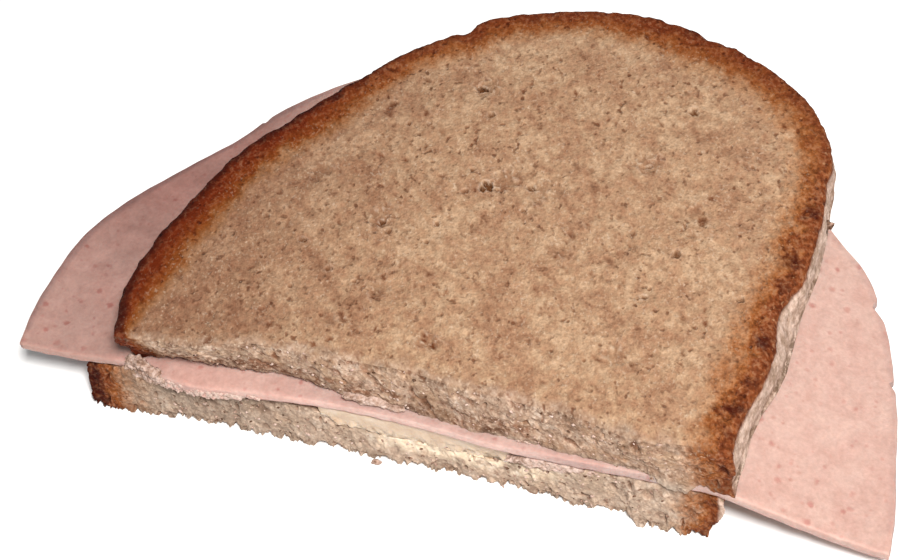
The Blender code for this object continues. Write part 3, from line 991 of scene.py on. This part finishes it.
def insideRim(plan):
    # how far each point lies in from the smooth outline, with its bearing and radius
    away = plan - sausage["middle"]
    bearing = np.degrees(np.arctan2(away[:, 1], away[:, 0]))
    radius = np.linalg.norm(away, axis=1)
    rimAngle, rimRadius = np.array(sausage["rim"])[::-1].T
    return np.interp(bearing, rimAngle, rimRadius) - radius, bearing, radius, away


def nicked(plan):
    # small tears and steps of the rim, pulled in from the smooth outline
    inside, bearing, radius, away = insideRim(plan)
    pull = np.zeros(len(plan))
    for at, wide, deep in sausage["nicks"]:
        side = (bearing - at) / wide
        step = np.clip(1 + side, 0, 1) * ease((0.1 - side) / 0.4)
        pull += deep * step * np.exp(-np.maximum(inside, 0) / 0.7)
    return plan - away / radius[:, None] * pull[:, None]


def sausagePlan():
    # rows of points that fill the shape between the cut and three parts of the rim
    bearings = smoothRun(sausage["rim"], 0.5)
    turn, radius = np.radians(bearings[:, 0]), bearings[:, 1]
    radius = radius + 0.05 * np.sin(turn * 31) + 0.025 * np.sin(turn * 97)
    rim = np.column_stack([np.cos(turn), np.sin(turn)]) * radius[:, None] + sausage["middle"]
    u = np.linspace(0, 1, sausage["columns"] + 1)
    v = np.linspace(0, 1, sausage["rows"] + 1)
    lower = alongRun(smoothRun([tuple(rim[0]), *sausage["cut"], tuple(rim[-1])], 0.3), u)
    upper = alongRun(rim, 0.3 + 0.4 * u)
    left, right = alongRun(rim, 0.3 * v), alongRun(rim, 1 - 0.3 * v)
    u, v = u[None, :, None], v[:, None, None]
    plan = (1 - v) * lower[None] + v * upper[None] + (1 - u) * left[:, None] + u * right[:, None]
    plan -= (1 - u) * ((1 - v) * lower[0] + v * upper[0]) + u * ((1 - v) * lower[-1] + v * upper[-1])
    return nicked(plan.reshape(-1, 2)), lower


def sausageBody(flat):
    # top and underside, joined round the edge by a rounded band, 1 high
    rows, columns = sausage["rows"] + 1, sausage["columns"] + 1
    count = len(flat)
    index = np.arange(count).reshape(rows, columns)
    quads = np.stack([index[:-1, :-1], index[:-1, 1:], index[1:, 1:], index[1:, :-1]], -1).reshape(-1, 4)
    border = np.concatenate([index[0, :-1], index[:-1, -1], index[-1, :0:-1], index[:0:-1, 0]])
    ring = flat[border]
    along = np.roll(ring, -1, 0) - np.roll(ring, 1, 0)
    along /= np.linalg.norm(along, axis=1)[:, None]
    outward = np.column_stack([along[:, 1], -along[:, 0]])
    places = [np.column_stack([flat, np.full(count, high)]) for high in (1.0, 0.0)]
    rings = [border + count]
    for high, bulge in sausage["bands"]:
        rings.append(sum(len(level) for level in places) + np.arange(len(border)))
        places.append(np.column_stack([ring + outward * bulge, np.full(len(ring), high)]))
    rings.append(border)
    faces = [tuple(q) for q in quads] + [tuple(q[::-1] + count) for q in quads]
    for low, high in zip(rings, rings[1:]):
        faces += [tuple(q) for q in np.stack([low, np.roll(low, -1), np.roll(high, -1), high], -1)]
    return np.vstack(places), faces


def shapeSausage(material):
    flat, lower = sausagePlan()
    p, faces = sausageBody(flat)
    x, y, high = p.T
    waves = 0.12 * noise(p * (1, 1, 0), 14, 61) * ease((np.abs(x - 42) - 46) / 6)
    fromCut = y - np.interp(x, lower[:, 0], lower[:, 1])
    cutRipple = 0.12 * ease(1.5 - np.abs(fromCut) / 0.6) * noise(p * (1, 0, 4), 1.7, 62)
    z = sausageUnder(x) + sausage["thickness"] * high + waves
    mesh = meshOf("sausage", np.column_stack([x, y + cutRipple, z]), faces)
    fromRim = insideRim(p[:, :2])[0]
    side = (np.arange(len(p)) >= 2 * len(flat)) * 1.0
    setValues(mesh, side=side, seam=side * ease(1.2 - high / 0.25) * (x > -2),
              # painted shade: darker towards the far left, where less light falls
              dull=ease((24 - x) / 34) * (0.5 + 0.5 * ease(y / 48)) * (1 - 0.6 * side),
              rim=ease(1.5 - fromRim / 0.8) * (y > 2.5),
              tucked=ease((x + 6) / 6) * ease((90 - x) / 14) * ease(2 - fromCut / 3))
    finishPiece("sausage_slice_pink", mesh, material, "sausage_slice", "sausage")


def sausageMaterial():
    r = Recipe("sausage")
    where, dull = r.inMm, r["dull"]
    tone = r.mixed(0.5, r.ramp(r.noise(where, 14, 2, 0.5), sausage["broadTones"]),
                   r.ramp(r.noise(where, 3.2, 3, 0.6), sausage["cloudTones"]))
    # small redder flecks of many sizes, with soft borders
    for apart, share, reddest in sausage["flecks"]:
        cells = r.add("ShaderNodeTexVoronoi", {
            "Vector": r.stretched(where, (1.0, 1.0, 0.2)), "Scale": 1 / apart, "Randomness": 1.0})
        parts = r.add("ShaderNodeSeparateColor", {"Color": cells.outputs["Color"]}).outputs
        wobble = r.times(r.calc("SUBTRACT", r.noise(where, 0.8, 3), 0.5), 0.35)
        within = r.calc("SUBTRACT", r.remap(parts[0], 0.2, 1.0, 0.03, 0.22),
                        r.calc("ADD", cells.outputs["Distance"], wobble))
        fleck = r.times(r.remap(within, -0.11, 0.11, 0, share, True), r.remap(parts[1], 0, 1, 0.45, 1.0))
        tone = r.mixed(fleck, tone, reddest)
    # painted shade: a greyer band along the rim, strongest towards the far left
    dryRim = r.times(r["rim"], r.remap(dull, 0.2, 0.7, 0.25, 0.7))
    tone = r.mixed(dryRim, tone, sausage["dryRim"])
    grain = r.times(r.remap(r.noise(where, 0.5, 2, 0.6), 0.3, 0.7, 0.93, 1.07),
                    r.remap(r.noise(where, 1.6, 2, 0.6), 0.3, 0.7, 0.95, 1.05))
    tone = r.shaded(tone, grain)
    mottled = r.remap(r.noise(where, 5, 3, 0.6), 0.35, 0.65, 0.84, 1.14)
    # painted shade: darker and mottled towards the far left
    tone = r.mixed(dull, tone, r.shaded(tone, mottled))
    tone = r.tinted(dull, tone, sausage["dullTint"])

    # painted light and shade: beside the bread and on the cut it gets lighter or darker from left to
    # right, and painted shade darkens the cut side's lower edge
    inwards = r.remap(r.across(), -34, -14)
    tone = r.tinted(r["tucked"], tone, r.mixed(inwards, *sausage["tuckTints"]))
    left, middle, right = sausage["sideTints"]
    side = r.mixed(r.remap(r.across(), 11, 20), r.mixed(inwards, left, middle), right)
    tone = r.tinted(r["side"], tone, side)
    tone = r.mixed(r.times(r["seam"], 0.8), tone, sausage["seam"])
    tone = r.tinted(1.0, tone, sausage["tint"])
    height = r.calc("ADD", r.noise(where, 0.5, 3), r.times(r.noise(where, 2.5, 2), 1.5))
    return r.finish({
        "Base Color": tone, "Roughness": r.remap(r.noise(where, 0.7, 3), 0.3, 0.7, 0.48, 0.66),
        "Specular IOR Level": 0.3, "Normal": r.bump(height, 0.0002, 0.35),
        "Subsurface Weight": 0.35, "Subsurface Radius": (1.0, 0.45, 0.35), "Subsurface Scale": 0.0022})


# torn bits: each row is an outline of x and z as seen from the front, the front and back y and
# how pale it is. Scattered crumbs lie anywhere on the two cuts.
crumbs = {
    "torn": [
        ([(-1.9, 9.2), (-2.2, 10.2), (-1.2, 11.9), (0.6, 12.9), (2.6, 12.4), (4.3, 11.4), (5.2, 10.4),
          (4.4, 9.5), (2.4, 8.8), (-0.6, 8.7)], -0.5, 0.9, 0.5),
        ([(4.0, 10.4), (5.2, 10.9), (8.0, 10.9), (11.0, 11.0), (14.0, 11.0), (17.0, 11.1), (19.4, 11.2),
          (20.4, 10.6), (19.2, 10.0), (18.2, 10.3), (17.0, 9.6), (15.9, 9.9), (14.7, 9.2), (13.4, 9.7),
          (12.0, 9.0), (10.8, 9.4), (9.4, 8.6), (8.2, 9.2), (6.8, 8.5), (5.8, 9.1), (4.8, 8.4),
          (3.8, 9.2)], -0.35, 0.6, 0.84),
        ([(32.4, 13.2), (34.0, 13.9), (36.4, 13.6), (39.0, 13.3), (41.8, 12.9), (41.6, 12.5),
          (39.6, 12.2), (37.6, 12.7), (35.8, 12.3), (34.0, 12.8)], 1.2, 2.6, 0.55),
        ([(56.2, 8.6), (57.6, 9.2), (59.2, 10.0), (61.0, 10.3), (63.2, 10.2), (65.4, 10.3), (67.6, 10.1),
          (69.8, 9.9), (68.6, 9.1), (66.0, 8.5), (62.6, 8.2), (59.0, 8.0), (57.0, 8.1)], -0.45, 0.8, 0.6),
        ([(57.6, 12.3), (58.8, 12.6), (60.4, 12.2), (59.4, 11.9), (58.4, 12.0)], 0.6, 1.8, 0.6),
        ([(90.2, 16.0), (90.5, 17.7), (91.1, 17.2), (91.7, 17.3), (91.3, 16.6), (91.2, 15.9)],
         41.5, 42.3, 0.1),
        ([(34.9, 0), (35.0, 0.7), (35.8, 1.0), (36.6, 0.7), (36.7, 0.1)], -0.5, 0.3, 0.35),
    ],
    "voxel": 0.17,
    "scattered": 260,
    "sizes": (0.2, 0.55),
    "seed": 29,
    "tones": [(0.0, (96, 64, 44)), (0.14, (150, 116, 96)), (0.45, (206, 172, 154)),
              (0.8, (244, 216, 202)), (1.0, (238, 192, 178))],
    "pitTint": (150, 98, 78),
}


def tornBit(outline, front, back, seed):
    # a flat bit with a ragged border and a crumbly face
    run = smoothRun(outline + outline[:1], 0.25)[:-1]
    levels = [np.column_stack([run[:, 0], np.full(len(run), y), run[:, 1]]) for y in (front, back)]
    mesh = evenBlank(levels, crumbs["voxel"])
    edges = edgesOf(mesh)
    q = relaxed(pointsOf(mesh), edges, 2)
    n = normalsOf(mesh, q)
    rough = np.clip((np.ptp(q[:, 2]) - 0.5) / 3, 0.5, 1)  # small flakes are smoother
    out = 0.38 * rough * roughNoise(warped(q, 0.3, 0.8, seed), 1.1, seed + 3, 3, 0.7)
    heart, who = grains(warped(q, 0.3, 0.6, seed + 4), 0.6, seed + 6)
    out += 0.24 * rough * (who - 0.5) * ease(heart * 1.8) - 0.1
    q += n * out[:, None]
    q[:, 1] += cutWave(sausage["cut"], q[:, 0]) * (q[:, 0] < 20)  # these lie on the sausage's edge
    cavity = hollowness(q, edges, normalsOf(mesh, q), 6)
    mesh.calc_loop_triangles()
    flat = np.empty(len(mesh.loop_triangles) * 3, dtype=np.int64)
    mesh.loop_triangles.foreach_get("vertices", flat)
    return q, flat.reshape(-1, 3), cavity


def chipShape():
    # a loose crumb, before it is pushed out of shape
    bm = bmesh.new()
    bmesh.ops.create_icosphere(bm, subdivisions=2, radius=0.5)
    verts = np.array([v.co for v in bm.verts])
    faces = np.array([[v.index for v in f.verts] for f in bm.faces])
    bm.free()
    return verts, faces


def scatteredChips(slices):
    # loose crumbs on the two cuts, each with a body, faces, hollowness and how pale it is
    draw = np.random.default_rng(crumbs["seed"])
    shape, faces = chipShape()
    low, high = crumbs["sizes"]
    bits = []
    for q, n, isCut in slices:
        bare = (isCut > 0.8) & (n[:, 2] > -0.5)
        for place in draw.choice(np.flatnonzero(bare), crumbs["scattered"], replace=False):
            size = low + (high - low) * draw.random() ** 2.2
            bit = shape * draw.uniform((1.0, 0.5, 0.5), (1.6, 0.9, 0.9))
            bit *= (1 + 0.55 * roughNoise(bit + draw.uniform(0, 99, 3), 0.6, 90, 2, 0.7)[:, None]) * size
            turn = Matrix.Rotation(draw.uniform(-0.7, 0.7), 3, "Y")
            turn = turn @ Matrix.Rotation(draw.uniform(-0.8, 0.8), 3, "Z")
            bit = bit @ np.array(turn).T + q[place] + n[place] * size * 0.05
            bits.append((bit, faces, np.zeros(len(bit)), draw.uniform(0.05, 0.75)))
    return bits


def shapeCrumbs(material, slices):
    bits = [(*tornBit(outline, front, back, 700 + 20 * number), pale)
            for number, (outline, front, back, pale) in enumerate(crumbs["torn"])]
    bits += scatteredChips(slices)
    bodies, faces, cavities, pales = zip(*bits)
    counts = [len(body) for body in bodies]
    q = np.vstack(bodies)
    q[:, 2] = np.maximum(q[:, 2], 0)
    faces = np.vstack([part + start for part, start in zip(faces, np.cumsum([0] + counts[:-1]))])
    mesh = meshOf("crumbs", q, faces.tolist())
    setValues(mesh, cavity=np.concatenate(cavities), pale=np.repeat(pales, counts))
    finishPiece("loose_crumbs", mesh, material, None, "upper_bread")


def crumbMaterial():
    r = Recipe("crumbs")
    mottled = r.remap(r.noise(r.inMm, 0.9, 3, 0.65), 0.3, 0.7, -0.4, 0.4)
    tone = r.ramp(r.calc("ADD", r["pale"], mottled), crumbs["tones"])
    grit = r.noise(r.inMm, 0.35, 3, 0.7)
    # darker overall and more so in the lows of the bump's own noise: painted shade of the fine relief
    tone = r.shaded(tone, r.remap(grit, 0.3, 0.7, 0.5, 0.76))
    # painted shade in the hollows
    tone = r.tinted(r.remap(r["cavity"], 0.01, 0.15, 0, 0.7), tone, crumbs["pitTint"])
    return r.finish({
        "Base Color": tone, "Roughness": 0.8, "Specular IOR Level": 0.12,
        "Normal": r.bump(grit, 0.0003, 0.7)})


studio = {
    "azimuth": 30.68,
    "elevation": 50.43,
    "roll": -14.33,
    "distance": 0.31139,
    "target": (-0.00958, -0.0028, 0.0),
    "lens": 83.05,
    "keyPower": 3.3,
    "keySize": 0.095,
    "keyAzimuth": 40,
    "keyElevation": 57,
    "keyDistance": 0.46,
    "keyColor": (1.0, 0.985, 0.96),
    "sky": 0.28,
    "floorColor": (0.95, 0.95, 0.95, 1),
}


def towards(azimuth, elevation):
    turn, lift = math.radians(azimuth), math.radians(elevation)
    return Vector((math.sin(turn) * math.cos(lift), -math.cos(turn) * math.cos(lift), math.sin(lift)))


def setCamera():
    turn, roll = math.radians(studio["azimuth"]), math.radians(studio["roll"])
    back = towards(studio["azimuth"], studio["elevation"])
    level = Vector((math.cos(turn), math.sin(turn), 0))
    upright = back.cross(level)
    right = math.cos(roll) * level + math.sin(roll) * upright
    up = math.cos(roll) * upright - math.sin(roll) * level
    place = Vector(studio["target"]) + back * studio["distance"]
    data = bpy.data.cameras.new("camera")
    data.lens = studio["lens"]
    data.clip_start = 0.01
    camera = bpy.data.objects.new("camera", data)
    camera.matrix_world = Matrix.Translation(place) @ Matrix((right, up, back)).transposed().to_4x4()
    bpy.context.scene.collection.objects.link(camera)
    bpy.context.scene.camera = camera


def setLights():
    aim = towards(studio["keyAzimuth"], studio["keyElevation"])
    data = bpy.data.lights.new("key", "AREA")
    data.shape = "DISK"
    data.size = studio["keySize"]
    data.energy = studio["keyPower"]
    data.color = studio["keyColor"]
    key = bpy.data.objects.new("key", data)
    key.location = aim * studio["keyDistance"]
    key.rotation_euler = aim.to_track_quat("Z", "Y").to_euler()
    bpy.context.scene.collection.objects.link(key)
    world = bpy.data.worlds.new("world")
    world.use_nodes = True
    world.node_tree.nodes["Background"].inputs["Color"].default_value = (1, 1, 1, 1)
    world.node_tree.nodes["Background"].inputs["Strength"].default_value = studio["sky"]
    bpy.context.scene.world = world
    bpy.context.scene.view_settings.view_transform = "Standard"


def layFloor():
    mesh = meshOf("floor", [(-3, -3, 0), (3, -3, 0), (3, 3, 0), (-3, 3, 0)], [(0, 1, 2, 3)])
    mesh.materials.append(Recipe("floor").finish({
        "Base Color": studio["floorColor"], "Roughness": 0.9, "Specular IOR Level": 0.1}))
    floor = bpy.data.objects.new("floor", mesh)
    bpy.context.scene.collection.objects.link(floor)


setCamera()
setLights()
layFloor()
print("stage is set")
bread = breadMaterial()
lower = shapeSlice(lowerSlice, bread, cheeseSmear)
shapeCheese(cheeseMaterial())
shapeSausage(sausageMaterial())
upper = shapeSlice(upperSlice, bread)
shapeCrumbs(crumbMaterial(), (lower, upper))
